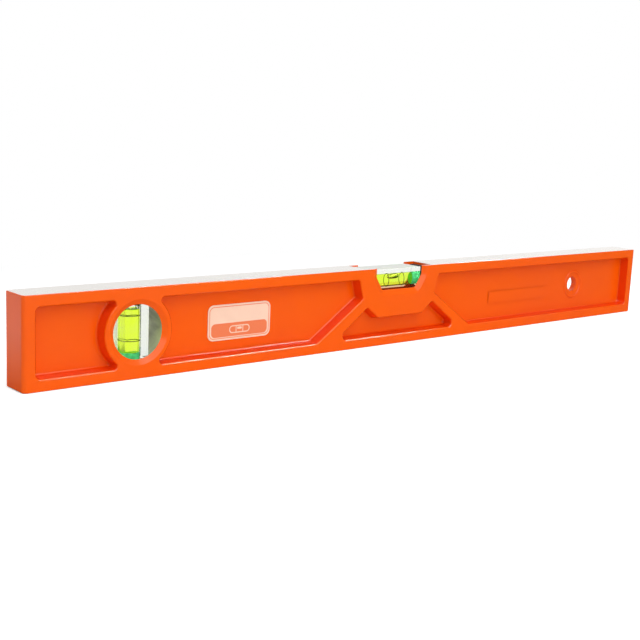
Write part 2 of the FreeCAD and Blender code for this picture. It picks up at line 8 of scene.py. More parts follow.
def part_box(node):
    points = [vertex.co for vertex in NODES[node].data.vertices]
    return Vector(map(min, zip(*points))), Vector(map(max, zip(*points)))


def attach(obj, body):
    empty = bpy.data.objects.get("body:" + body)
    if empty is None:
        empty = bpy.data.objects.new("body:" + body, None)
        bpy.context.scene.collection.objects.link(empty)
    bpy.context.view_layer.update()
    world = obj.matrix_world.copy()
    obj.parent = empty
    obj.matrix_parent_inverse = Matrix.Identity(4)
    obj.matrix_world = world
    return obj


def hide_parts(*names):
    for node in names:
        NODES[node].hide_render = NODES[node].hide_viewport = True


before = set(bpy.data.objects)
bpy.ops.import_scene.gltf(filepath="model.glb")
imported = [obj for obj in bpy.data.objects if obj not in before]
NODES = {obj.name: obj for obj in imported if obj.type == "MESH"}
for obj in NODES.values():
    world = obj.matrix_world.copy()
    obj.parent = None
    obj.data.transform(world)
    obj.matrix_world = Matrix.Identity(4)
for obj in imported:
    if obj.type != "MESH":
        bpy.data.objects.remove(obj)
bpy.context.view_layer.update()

bl_info = {
    "name": "Cast Beam Level",
    "version": (1, 0, 0),
    "blender": (4, 5, 0),
    "location": "View3D > Sidebar > Level",
    "description": "Dresses the packed spirit level: paint, vials, label, magnets and a plain stage",
    "category": "Object",
}

MM = 0.001

# Refraction, each against what lies round it
LIQUID_IN_ACRYLIC = 0.955
AIR_IN_LIQUID = 0.735
AIR_IN_ACRYLIC = 0.69

# Where the beam is bare: straight wall of the window, plumb seat and magnet seats
SKIN = 0.02 * MM
WINDOW_REACH = 17.45 * MM
WINDOW_DEPTH = 10.2 * MM
SEAT_REACH = 8.8 * MM
SEAT_FRONT = -9.7 * MM
SEAT_MARGIN = 1.4 * MM
MAGNET_SEAT = 5.3 * MM

# Where no shade is painted on the recess walls: the web, and what lies round the window, the notch and
# the ends
WEB_FACE = 3.6 * MM
BOSS_REACH = 21 * MM
NOTCH_REACH = 35 * MM
NOTCH_DEPTH = 23 * MM
END_WALL = 4 * MM

# Shading of the beam: turns within one surface and one flat, and the area of a wide flat
SURFACE_TURN = math.radians(14)
FLAT_TURN = math.radians(0.3)
WIDE_FACE = 12 * MM * MM

# Stretch, scale and threshold of the cutter's lines
CUTTER_LINES = ((0.02, 1.0, 1.0), 2600.0, 0.5)

# What gloss sees of the dark side of the room
DARK_ROOM = 0.08


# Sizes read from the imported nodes

def middle_of(node):
    """The middle of a node's box."""
    low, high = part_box(node)
    return (low + high) / 2


FRAME_LOW, FRAME_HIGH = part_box("frame")
LEVEL_LOW, LEVEL_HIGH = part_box("level_block")
PLUMB_LOW, PLUMB_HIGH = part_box("plumb_block")
LABEL_LOW, LABEL_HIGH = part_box("label_plate")
FRAME_MID, PLUMB_MID = middle_of("frame"), middle_of("plumb_block")
LABEL_MID = middle_of("label_plate")
LEVEL_RINGS = (middle_of("level_ring_left"), middle_of("level_ring_right"))
PLUMB_RINGS = (middle_of("plumb_ring_lower"), middle_of("plumb_ring_upper"))
BORE_RADIUS = (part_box("level_plug")[1].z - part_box("level_plug")[0].z) / 2
LEVEL_BORE = middle_of("level_plug").z


# Settings

def setting(kind, **limits):
    """A function that makes settings of one kind from a label, a text and a value."""
    return lambda label, text, value: kind(name=label, description=text, default=value, **limits)


FLOAT, FLOATS = bpy.props.FloatProperty, bpy.props.FloatVectorProperty
length_setting = setting(FLOAT, min=0, precision=5, unit="LENGTH", subtype="DISTANCE")
place_setting = setting(FLOAT, precision=5, unit="LENGTH", subtype="DISTANCE")
share_setting = setting(FLOAT, min=0, max=1, subtype="FACTOR")
angle_setting = setting(FLOAT, subtype="ANGLE")
number_setting = setting(FLOAT, min=0)
lens_setting = setting(FLOAT, min=1, subtype="DISTANCE_CAMERA")
point_setting = setting(FLOATS, unit="LENGTH", subtype="TRANSLATION")
colour_setting = setting(FLOATS, size=3, min=0, max=1, subtype="COLOR")


class PaintSettings(bpy.types.PropertyGroup):
    """Finish of the cast beam."""

    paint: colour_setting("Paint", "Colour of the gloss paint", (0.94, 0.118, 0.001))
    worn_paint: colour_setting("Clouded paint", "Colour of the clouds in it", (0.91, 0.106, 0.001))
    # Painted shade: the darker colour that stands in for the shade on the walls of the recesses
    wall_shade_colour: colour_setting("Deep paint", "Colour where the paint lies thick", (0.84, 0.052, 0.001))
    paint_roughness: share_setting("Paint roughness", "Roughness of the gloss paint", 0.17)
    strip_width: length_setting("Strip width", "Bevels narrower than this are shaded round", 1.9 * MM)
    peel_depth: length_setting("Peel depth", "Height of the ripple in the paint", 0.03 * MM)
    peel_size: length_setting("Peel size", "Width of one ripple in the paint", 1.6 * MM)
    milled: colour_setting("Milled metal", "Colour of the bare milled faces", (0.74, 0.71, 0.67))
    # Bare metal, whose olive tint is a painted reflection of the green liquid
    bored_metal_and_reflection: colour_setting("Bored metal", "Colour of the bare walls of the seats", (0.62, 0.65, 0.46))


class VialSettings(bpy.types.PropertyGroup):
    """Shapes and colours of the vials."""

    acrylic: colour_setting("Acrylic", "Tint of the clear blocks", (0.95, 0.965, 0.93))
    block_edge: length_setting("Block edge", "Radius of the edges of the top block", 0.4 * MM)
    upright_edge: length_setting("Upright edge", "Radius of the edges of the upright block", 1.2 * MM)
    bedding: colour_setting("Bedding", "Colour under the top block", (0.72, 0.20, 0.06))
    stain: colour_setting("Stain", "Tint of the lowest part of the top block", (0.88, 0.58, 0.33))
    block_gap: length_setting("Block gap", "Free pocket past the plugged end of the block", 8.1 * MM)
    block_drop: length_setting("Block drop", "How far the block lies under the milled face", 1.0 * MM)
    plug_length: length_setting("Plug length", "Length of the plug in the top block", 5.4 * MM)
    pad_drop: length_setting("Pad drop", "How far the end pads are lowered with the block", 1.0 * MM)
    liquid: colour_setting("Liquid", "Colour of the liquid", (0.80, 1.0, 0.045))
    # Painted light: the liquid glows a little by itself
    glow: share_setting("Glow", "Own light of the bright dye", 0.04)
    plug: colour_setting("Plug", "Colour of the plugs", (0.13, 0.85, 0.30))
    # Painted light: the plugs glow with their own colour, in place of light that comes through the
    # acrylic
    plug_glow: share_setting("Plug glow", "Light that the plugs pass on", 0.2)
    ring: colour_setting("Ring", "Colour of the graduation rings", (0.17, 0.21, 0.02))
    ring_width: share_setting("Ring width", "Printed width of a ring, as a share of its piece", 0.6)
    pad: colour_setting("Pad", "Colour of the end pads", (0.02, 0.02, 0.022))
    bubble_place: place_setting("Bubble place", "Place of the bubble along the beam", -1.5 * MM)
    bubble_length: length_setting("Bubble length", "Length of the bubble in the level vial", 11.6 * MM)
    bubble_width: length_setting("Bubble width", "Width of the bubble in the level vial", 7 * MM)
    bubble_height: length_setting("Bubble height", "Height of the bubble in the level vial", 4.2 * MM)
    meniscus: length_setting("Meniscus", "Rise of the liquid at the wall of the bore", 0.7 * MM)


class LabelSettings(bpy.types.PropertyGroup):
    """Print on the label plate."""

    ground: colour_setting("Ground", "Pale colour of the plate", (0.93, 0.66, 0.50))
    band: colour_setting("Band", "Colour of the printed band", (0.87, 0.22, 0.085))
    corner: length_setting("Corner", "Corner radius of the plate", 4.5 * MM)


class MagnetSettings(bpy.types.PropertyGroup):
    """Magnets in the base."""

    nickel: colour_setting("Nickel", "Colour of the plating", (0.70, 0.67, 0.62))
    edge: length_setting("Edge", "Radius of the magnets' edges", 0.35 * MM)


class StageSettings(bpy.types.PropertyGroup):
    """Camera, floor and light."""

    place: point_setting("Camera place", "Where the camera stands", (-0.57234, -0.58180, 0.16332))
    yaw: angle_setting("Yaw", "Turn of the camera from the Y axis", math.radians(40.956))
    pitch: angle_setting("Pitch", "Tilt of the camera", math.radians(-10.444))
    roll: angle_setting("Roll", "Roll of the camera", math.radians(2.559))
    lens: lens_setting("Lens", "Focal length on a 36 mm sensor", 61.74)
    floor: colour_setting("Floor", "Colour of the floor", (0.94, 0.94, 0.94))
    fill: share_setting("Fill", "Light from all round", 0.42)
    key: number_setting("Key", "Power of the front lamp, in watts", 21.0)
    top: number_setting("Top", "Power of the overhead lamp, in watts", 14.0)
    streak: number_setting("Streak", "Power of the lamp for lines on the lower rims, in watts", 34.0)
    spot: number_setting("Spot", "Power of the lamp for spots on the corners, in watts", 1.2)


# Shader nodes

def add_node(tree, kind, **values):
    """A node with its sockets and settings filled in by name."""
    node = tree.nodes.new(kind)
    for name, value in values.items():
        label = name.replace("_", " ")
        socket = next((s for s in node.inputs if s.name.lower() == label.lower()), None)
        if socket is not None:
            socket.default_value = value
        else:
            setattr(node, name, value)
    return node


def math_node(tree, operation, first, second=None, clamp=False):
    """A Math node whose inputs are sockets or numbers."""
    node = tree.nodes.new("ShaderNodeMath")
    node.operation = operation
    node.use_clamp = clamp
    for socket, value in zip(node.inputs, (first, second)):
        if isinstance(value, bpy.types.NodeSocket):
            tree.links.new(value, socket)
        elif value is not None:
            socket.default_value = value
    return node.outputs[0]


def blend_node(tree, mask, first, second):
    """A mix of two colours, each a socket or three numbers, by a mask."""
    node = tree.nodes.new("ShaderNodeMix")
    node.data_type = "RGBA"
    sockets = [s for s in node.inputs if s.type == "RGBA"]
    tree.links.new(mask, node.inputs[0])
    for socket, value in zip(sockets, (first, second)):
        if isinstance(value, bpy.types.NodeSocket):
            tree.links.new(value, socket)
        else:
            socket.default_value = (*value, 1)
    return next(s for s in node.outputs if s.type == "RGBA")


def range_node(tree, value, low, high, to_low, to_high):
    """Maps a value from one range to another, and stops at its ends."""
    node = tree.nodes.new("ShaderNodeMapRange")
    tree.links.new(value, node.inputs[0])
    for socket, number in zip(node.inputs[1:5], (low, high, to_low, to_high)):
        socket.default_value = number
    return node.outputs[0]


def new_group(name, inputs, outputs, family="ShaderNodeTree"):
    """A group with named inputs and outputs, and its two end nodes."""
    group = bpy.data.node_groups.new(name, family)
    for label, kind, value in inputs:
        socket = group.interface.new_socket(name=label, in_out="INPUT", socket_type=kind)
        if value is not None:
            socket.default_value = value
    for label, kind in outputs:
        group.interface.new_socket(name=label, in_out="OUTPUT", socket_type=kind)
    return group, group.nodes.new("NodeGroupInput"), group.nodes.new("NodeGroupOutput")


def grain_group():
    """Soft ripple and slow cloud of a surface, from object coordinates."""
    group, start, end = new_group(
        "surface_grain",
        [("Ripple scale", "NodeSocketFloat", 600.0), ("Cloud scale", "NodeSocketFloat", 12.0)],
        [("Height", "NodeSocketFloat"), ("Cloud", "NodeSocketFloat")],
    )
    place = group.nodes.new("ShaderNodeTexCoord").outputs["Object"]
    ripple = add_node(group, "ShaderNodeTexNoise", Detail=2.0, Roughness=0.45)
    cloud = add_node(group, "ShaderNodeTexNoise", Detail=3.0, Roughness=0.55, Distortion=0.6)
    for texture, scale in ((ripple, "Ripple scale"), (cloud, "Cloud scale")):
        group.links.new(place, texture.inputs["Vector"])
        group.links.new(start.outputs[scale], texture.inputs["Scale"])
    group.links.new(ripple.outputs["Fac"], end.inputs["Height"])
    spread = range_node(group, cloud.outputs["Fac"], 0.35, 0.65, 0.0, 1.0)
    group.links.new(spread, end.inputs["Cloud"])
    return group


def scratch_group():
    """Long fine lines in one direction, from object coordinates stretched by a vector."""
    group, start, end = new_group(
        "fine_lines",
        [
            ("Stretch", "NodeSocketVector", (1.0, 1.0, 1.0)),
            ("Scale", "NodeSocketFloat", 1500.0),
            ("Threshold", "NodeSocketFloat", 0.5),
        ],
        [("Height", "NodeSocketFloat"), ("Mask", "NodeSocketFloat")],
    )
    place = group.nodes.new("ShaderNodeTexCoord").outputs["Object"]
    stretch = add_node(group, "ShaderNodeVectorMath", operation="MULTIPLY")
    group.links.new(place, stretch.inputs[0])
    group.links.new(start.outputs["Stretch"], stretch.inputs[1])
    lines = add_node(group, "ShaderNodeTexNoise", Detail=4.0, Roughness=0.7)
    group.links.new(stretch.outputs[0], lines.inputs["Vector"])
    group.links.new(start.outputs["Scale"], lines.inputs["Scale"])
    group.links.new(lines.outputs["Fac"], end.inputs["Height"])
    over = math_node(group, "SUBTRACT", lines.outputs["Fac"], start.outputs["Threshold"])
    group.links.new(math_node(group, "MULTIPLY", over, 8.0, clamp=True), end.inputs["Mask"])
    return group


def field_group():
    """Whether a point of the label lies in a rectangle with rounded corners."""
    group, start, end = new_group(
        "rounded_field",
        [
            ("Across", "NodeSocketFloat", 0.0),
            ("Up", "NodeSocketFloat", 0.0),
            ("Middle across", "NodeSocketFloat", 0.0),
            ("Middle up", "NodeSocketFloat", 0.0),
            ("Half length", "NodeSocketFloat", 0.01),
            ("Half height", "NodeSocketFloat", 0.005),
            ("Corner", "NodeSocketFloat", 0.002),
        ],
        [("Mask", "NodeSocketFloat")],
    )
    reaches = []
    for along, middle, half in (
        ("Across", "Middle across", "Half length"),
        ("Up", "Middle up", "Half height"),
    ):
        offset = math_node(group, "SUBTRACT", start.outputs[along], start.outputs[middle])
        inner = math_node(group, "SUBTRACT", start.outputs[half], start.outputs["Corner"])
        over = math_node(group, "SUBTRACT", math_node(group, "ABSOLUTE", offset), inner)
        reaches.append(math_node(group, "MAXIMUM", over, 0.0))
    squares = [math_node(group, "MULTIPLY", reach, reach) for reach in reaches]
    distance = math_node(group, "SQRT", math_node(group, "ADD", *squares))
    outside = math_node(group, "SUBTRACT", distance, start.outputs["Corner"])
    inside = math_node(group, "MULTIPLY", outside, -9000.0)
    group.links.new(math_node(group, "ADD", inside, 0.5, clamp=True), end.inputs["Mask"])
    return group


GROUPS = {}


def group_node(tree, name, **values):
    """A group placed in a material, with its own values."""
    if name not in GROUPS:
        GROUPS[name] = {"grain": grain_group, "lines": scratch_group, "field": field_group}[name]()
    node = tree.nodes.new("ShaderNodeGroup")
    node.node_tree = GROUPS[name]
    for label, value in values.items():
        socket = node.inputs[label.replace("_", " ")]
        if isinstance(value, bpy.types.NodeSocket):
            tree.links.new(value, socket)
        else:
            socket.default_value = value
    return node


def new_material(name, **values):
    """A material with one Principled shader whose sockets get these constants."""
    material = bpy.data.materials.new(name)
    material.use_nodes = True
    shader = material.node_tree.nodes["Principled BSDF"]
    for label, value in values.items():
        shader.inputs[label.replace("_", " ")].default_value = value
    return material, material.node_tree, shader


def mix_shaders(tree, share, first, second):
    """The first shader, and the second by its share."""
    node = tree.nodes.new("ShaderNodeMixShader")
    for socket, value in zip(node.inputs, (share, first.outputs[0], second.outputs[0])):
        tree.links.new(value, socket)
    return node


def looked_at(tree, path):
    """Whether the camera looks at this point, straight or through glass."""
    return math_node(tree, "MAXIMUM", path["Is Camera Ray"], path["Is Transmission Ray"])


def mirrored_light(tree, path, behind, right):
    """What gloss sees of the room: pale behind the object or through glass, else dark."""
    gloss = math_node(tree, "MAXIMUM", math_node(tree, "MULTIPLY", behind, right), DARK_ROOM)
    inside = math_node(tree, "MULTIPLY", path["Transmission Depth"], 0.75, clamp=True)
    return math_node(tree, "MAXIMUM", gloss, inside)


def shade(colour, factor, lift=0.0):
    """A colour made darker or lighter."""
    return tuple(factor * channel + lift for channel in colour)


def object_place(tree, source="Object"):
    """The X, Y and Z sockets of the object coordinates, or of other ones."""
    place = tree.nodes.new("ShaderNodeTexCoord").outputs[source]
    parts = tree.nodes.new("ShaderNodeSeparateXYZ")
    tree.links.new(place, parts.inputs[0])
    return parts.outputs


def grain_of(tree, ripple_scale, cloud_scale):
    """The height and the cloud of the grain."""
    return group_node(tree, "grain", Ripple_scale=ripple_scale, Cloud_scale=cloud_scale).outputs


def lines_of(tree, stretch, scale, threshold):
    """The height and the mask of fine lines."""
    return group_node(tree, "lines", Stretch=stretch, Scale=scale, Threshold=threshold).outputs


def wire_shader(tree, shader, colour, height=None, rough=None, bump=None):
    """Links a colour, and by a height the roughness (low, high) and the bump (depth, strength)."""
    tree.links.new(colour, shader.inputs["Base Color"])
    if rough:
        tree.links.new(range_node(tree, height, 0.3, 0.7, *rough), shader.inputs["Roughness"])
    if bump:
        node = add_node(tree, "ShaderNodeBump", Distance=bump[0], Strength=bump[1])
        tree.links.new(height, node.inputs["Height"])
        tree.links.new(node.outputs["Normal"], shader.inputs["Normal"])


def grained_material(name, scales, colours, rough=None, bump=None, lit=False, **values):
    """A material that goes between two colours by the grain's clouds, and may glow with that colour as
    painted light.
    """
    material, tree, shader = new_material(name, **values)
    height, cloud = grain_of(tree, *scales)
    colour = blend_node(tree, cloud, *colours)
    wire_shader(tree, shader, colour, height, rough, bump)
    if lit:
        tree.links.new(colour, shader.inputs["Emission Color"])
    return material


# Materials

def paint_material(settings):
    """Gloss paint on a casting: slight ripple, and a darker colour painted on the recess walls as
    shade.
    """
    gloss = settings.paint_roughness
    values = {"Roughness": gloss, "Specular IOR Level": 0.5}
    material, tree, shader = new_material("gloss_orange_paint", **values)
    height, cloud = grain_of(tree, 1 / settings.peel_size, 9.0)
    # Painted shade on the recess walls, by the attribute that marks them
    wall_shade = add_node(tree, "ShaderNodeAttribute", attribute_name="wall_shade")
    colour = blend_node(tree, cloud, settings.paint, settings.worn_paint)
    colour = blend_node(tree, wall_shade.outputs["Fac"], colour, settings.wall_shade_colour)
    wire_shader(tree, shader, colour, height, bump=(settings.peel_depth, 0.35))
    patches = range_node(tree, cloud, 0, 1, gloss - 0.04, gloss + 0.05)
    tree.links.new(patches, shader.inputs["Roughness"])
    return material


def milled_material(settings):
    """Bare metal with the cutter's fine lines along the beam."""
    material, tree, shader = new_material("milled_aluminium", Metallic=1.0, Roughness=0.26)
    height, mask = lines_of(tree, *CUTTER_LINES)
    both = math_node(tree, "MULTIPLY", mask, grain_of(tree, 900.0, 14.0)["Cloud"])
    colour = blend_node(tree, both, settings.milled, shade(settings.milled, 0.82))
    wire_shader(tree, shader, colour, height, (0.2, 0.32), (0.01 * MM, 0.3))
    return material


def bored_material(settings):
    """Dull bare metal in the seats, with turning lines round the window; its olive tint is a painted
    reflection of the green liquid.
    """
    material, tree, shader = new_material("bored_aluminium", Metallic=0.85, Roughness=0.42)
    height = lines_of(tree, (0.05, 1.0, 0.05), 2200.0, 0.48)["Height"]
    cloud = grain_of(tree, 700.0, 60.0)["Cloud"]
    # The olive colour here is painted reflection of the liquid, with darker clouds
    colour = blend_node(tree, cloud, settings.bored_metal_and_reflection, shade(settings.bored_metal_and_reflection, 0.6))
    wire_shader(tree, shader, colour, height, (0.3, 0.55), (0.02 * MM, 0.5))
    return material


def acrylic_material(name, settings, roughness, stained=-1.0):
    """Clear acrylic with faint scuffs, polished or satin, stained by the paint under a height."""
    material, tree, shader = new_material(
        name, Roughness=roughness, IOR=1.49, Transmission_Weight=1.0
    )
    scuffs = lines_of(tree, (1.0, 0.15, 0.4), 900.0, 0.62)["Mask"]
    colour = blend_node(tree, scuffs, settings.acrylic, shade(settings.acrylic, 0.93))
    height = object_place(tree)["Z"]
    low = range_node(tree, height, stained - 0.2 * MM, stained + 0.2 * MM, 1.0, 0.0)
    wire_shader(tree, shader, blend_node(tree, low, colour, settings.stain))
    gloss = range_node(tree, scuffs, 0, 1, 0.8 * roughness, roughness + 0.04)
    tree.links.new(gloss, shader.inputs["Roughness"])
    return material


def bedding_material(settings):
    """The underside of the level block, bedded on the paint of its pocket."""
    colours = settings.bedding, shade(settings.bedding, 0.75)
    values = {"Roughness": 0.5, "Specular IOR Level": 0.0}
    bump = (0.02 * MM, 0.4)
    return grained_material("block_bedding", (900.0, 150.0), colours, bump=bump, **values)


def ground_material(settings):
    """The top of the level block, left dull by the cutter."""
    values = {"Roughness": 0.6, "IOR": 1.49, "Transmission Weight": 0.35}
    material, tree, shader = new_material("ground_acrylic", **values)
    height, mask = lines_of(tree, *CUTTER_LINES)
    colour = blend_node(tree, mask, settings.acrylic, shade(settings.acrylic, 0.9))
    wire_shader(tree, shader, colour, height, (0.5, 0.7), (0.01 * MM, 0.3))
    return material


def liquid_material(settings):
    """Bright dyed liquid, with a faint painted glow of its own colour. It wets the acrylic, so its
    index is given against the acrylic's.
    """
    colours = settings.liquid, shade(settings.liquid, 0.9, 0.06)
    values = {"Roughness": 0.0, "IOR": LIQUID_IN_ACRYLIC, "Transmission Weight": 1.0}
    # Painted light: the liquid glows with its own colour
    values["Emission Strength"] = settings.glow
    return grained_material("dyed_liquid", (400.0, 110.0), colours, lit=True, **values)


def air_material(index):
    """The air in a vial, whose index is given against what lies round it."""
    colours = (1.0, 1.0, 1.0), (0.97, 1.0, 0.98)
    values = {"Roughness": 0.0, "IOR": index, "Transmission Weight": 1.0}
    return grained_material("vial_air", (300.0, 200.0), colours, **values)


def plug_material(settings):
    """Translucent moulded plastic of the plugs, with a painted glow that stands in for light reaching
    them through the acrylic.
    """
    colours = settings.plug, shade(settings.plug, 0.72)
    values = {"Roughness": 0.3, "IOR": 1.1, "Transmission Weight": 0.15}
    # Painted light: a glow of the plug's colour
    values["Emission Strength"] = settings.plug_glow
    rough, bump = (0.24, 0.4), (0.02 * MM, 0.4)
    return grained_material("green_plug", (2500.0, 240.0), colours, rough, bump, True, **values)


def matt_material(name, colour, roughness):
    """Dull plastic or rubber with a fine grain."""
    colours = colour, shade(colour, 1.8, 0.004)
    values = {"Roughness": roughness, "Specular IOR Level": 0.35}
    rough, bump = (roughness - 0.1, roughness + 0.1), (0.03 * MM, 0.6)
    return grained_material(name, (3200.0, 400.0), colours, rough, bump, **values)


def nickel_material(settings):
    """Nickel plating with short rub marks."""
    material, tree, shader = new_material("nickel_plating", Metallic=1.0, Roughness=0.22)
    height, marks = lines_of(tree, (0.06, 1.0, 1.0), 1900.0, 0.55)
    colour = blend_node(tree, marks, settings.nickel, shade(settings.nickel, 0.75))
    wire_shader(tree, shader, colour, height, bump=(0.01 * MM, 0.3))
    tree.links.new(range_node(tree, marks, 0, 1, 0.18, 0.38), shader.inputs["Roughness"])
    return material


def label_material(settings):
    """Print of the label: a pale ground, a band with a plain vial sign and a thin frame line."""
    material, tree, shader = new_material("label_print", Roughness=0.32, Specular_IOR_Level=0.4)
    place = object_place(tree)

    def field(x, z, half_length, half_height, corner):
        node = group_node(
            tree,
            "field",
            Across=place["X"],
            Up=place["Z"],
            Middle_across=LABEL_MID.x + x * MM,
            Middle_up=LABEL_MID.z + z * MM,
            Half_length=half_length * MM,
            Half_height=half_height * MM,
            Corner=corner * MM,
        )
        return node.outputs["Mask"]

    height, cloud = grain_of(tree, 2200.0, 90.0)
    paler = tuple(min(1.0, 1.04 * channel) for channel in settings.ground)
    ground = blend_node(tree, cloud, settings.ground, paler)
    outer = field(0, 0, 24.6, 10.8, 3.6)
    inner = field(0, 0, 24.1, 10.3, 3.2)
    line = math_node(tree, "SUBTRACT", outer, inner, clamp=True)
    colour = blend_node(tree, line, ground, settings.band)
    band_height = -5.2
    colour = blend_node(tree, field(0, band_height, 23.0, 4.6, 3.0), colour, settings.band)
    sign_outer = field(0, band_height, 8.4, 2.6, 2.5)
    sign_inner = field(0, band_height, 7.7, 1.9, 1.85)
    sign = math_node(tree, "SUBTRACT", sign_outer, sign_inner, clamp=True)
    for x in (-2.8, 2.8):
        sign = math_node(tree, "MAXIMUM", sign, field(x, band_height, 0.3, 1.9, 0.1))
    sign = math_node(tree, "MAXIMUM", sign, field(0, band_height + 0.6, 1.9, 0.75, 0.7))
    colour = blend_node(tree, sign, colour, ground)
    wire_shader(tree, shader, colour, height, (0.26, 0.4), (0.01 * MM, 0.3))
    return material


# Meshes

def mesh_from(work, name):
    """A mesh with smooth faces and outward normals from a bmesh."""
    bmesh.ops.recalc_face_normals(work, faces=work.faces)
    for face in work.faces:
        face.smooth = True
    mesh = bpy.data.meshes.new(name)
    work.to_mesh(mesh)
    work.free()
    return mesh


def bevelled_box(name, low, high, radius, segments=3):
    """A box with rounded edges."""
    work = bmesh.new()
    made = bmesh.ops.create_cube(work, size=1.0)
    size = Vector(high) - Vector(low)
    middle = (Vector(high) + Vector(low)) / 2
    for vertex in made["verts"]:
        vertex.co = Vector([vertex.co[i] * size[i] for i in range(3)]) + middle
    bmesh.ops.bevel(
        work, geom=list(work.edges), offset=radius, segments=segments, profile=0.5, affect="EDGES"
    )
    return mesh_from(work, name)


def bridge(work, loops):
    """Faces between each closed loop and the next; the first and last may be one point."""
    for first, second in zip(loops, loops[1:]):
        steps = max(len(first), len(second))
        for step in range(steps):
            after = (step + 1) % steps
            if len(first) == 1:
                work.faces.new((first[0], second[step], second[after]))
            elif len(second) == 1:
                work.faces.new((first[step], first[after], second[0]))
            else:
                work.faces.new((first[step], first[after], second[after], second[step]))


def turned_mesh(name, profile, axis, base, steps=96):
    """A round piece from points (along, radius); the first and last lie on the axis."""
    work = bmesh.new()
    along = Vector(axis)
    side = Vector((0, 1, 0))
    other = along.cross(side)
    rings = []
    for distance, radius in profile:
        centre = Vector(base) + along * distance
        if radius < 1e-7:
            rings.append([work.verts.new(centre)])
            continue
        ring = []
        for step in range(steps):
            angle = 2 * math.pi * step / steps
            outwards = math.cos(angle) * side + math.sin(angle) * other
            ring.append(work.verts.new(centre + radius * outwards))
        rings.append(ring)
    bridge(work, rings)
    return mesh_from(work, name)


def rounded_end(along, radius, depth, direction, steps=6):
    """Profile points of a quarter-round edge that ends a turned piece."""
    angles = [math.pi / 2 * step / steps for step in range(steps + 1)]
    return [
        (along + direction * depth * math.sin(angle), radius - depth + depth * math.cos(angle))
        for angle in angles
    ]


def finish_piece(name, mesh, materials, replaced=(), weighted=False):
    """A new object at the origin that rides on the body and stands for its nodes.

    Weighted normals keep the flat faces even, so that narrow bevels look round.
    """
    piece = bpy.data.objects.new(name, mesh)
    bpy.context.scene.collection.objects.link(piece)
    for material in materials:
        mesh.materials.append(material)
    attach(piece, "root")
    if replaced:
        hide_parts(*replaced)
    if weighted:
        modifier = piece.modifiers.new("weighted_normals", "WEIGHTED_NORMAL")
        modifier.mode = "FACE_AREA_WITH_ANGLE"
        modifier.keep_sharp = True
        modifier.weight = 80


def number_faces(work, widest):
    """Numbers the faces: those that meet at a smaller turn than the widest share a number."""
    numbers = {}
    for seed in work.faces:
        if seed in numbers:
            continue
        numbers[seed] = seed.index
        waiting = [seed]
        while waiting:
            face = waiting.pop()
            for other in (f for edge in face.edges for f in edge.link_faces):
                alike = other.material_index == face.material_index
                if other not in numbers and alike and face.normal.angle(other.normal, 0) < widest:
                    numbers[other] = seed.index
                    waiting.append(other)
    return numbers


def narrow_strips(work, numbers, width):
    """The numbers of bevels: long faces whose area over their length is under a width."""
    areas, borders = {}, {}
    for face in work.faces:
        number = numbers[face]
        areas[number] = areas.get(number, 0) + face.calc_area()
        for edge in face.edges:
            if any(numbers[other] != number for other in edge.link_faces):
                borders[number] = borders.get(number, 0) + edge.calc_length()
    reach = {number: width * borders.get(number, 1e-9) for number in areas}
    return {number for number, area in areas.items() if 2 * area < reach[number]}


def corner_normals(work, width):
    """A normal for each corner of each face: flats stay flat, and narrow bevels look round."""
    work.faces.index_update()
    surfaces = number_faces(work, SURFACE_TURN)
    flats = number_faces(work, FLAT_TURN)
    strips = narrow_strips(work, surfaces, width)
    areas = {}
    for face in work.faces:
        areas[flats[face]] = areas.get(flats[face], 0) + face.calc_area()
    normals = []
    for face in work.faces:
        for corner in face.loops:
            around = corner.vert.link_faces
            own = [f for f in around if surfaces[f] == surfaces[face]]
            if surfaces[face] in strips:
                own = [f for f in around if surfaces[f] not in strips] or own
            wide = {flats[f]: f.normal for f in own if areas[flats[f]] > WIDE_FACE}
            if surfaces[face] not in strips and areas[flats[face]] > WIDE_FACE:
                total = face.normal.copy()
            elif wide:
                total = sum(wide.values(), Vector())
            else:
                total = sum((f.normal * f.calc_area() for f in own), Vector())
            normals.append(total.normalized() if total.length > 1e-12 else face.normal.copy())
    return normals


def plugged_end(settings):
    """Where the top block ends on the side of its plug."""
    return LEVEL_HIGH.x - settings.block_gap


# Operators

def from_window(point):
    """How far a point lies from the axis of the round window."""
    return math.hypot(point.x - PLUMB_MID.x, point.z - PLUMB_MID.z)


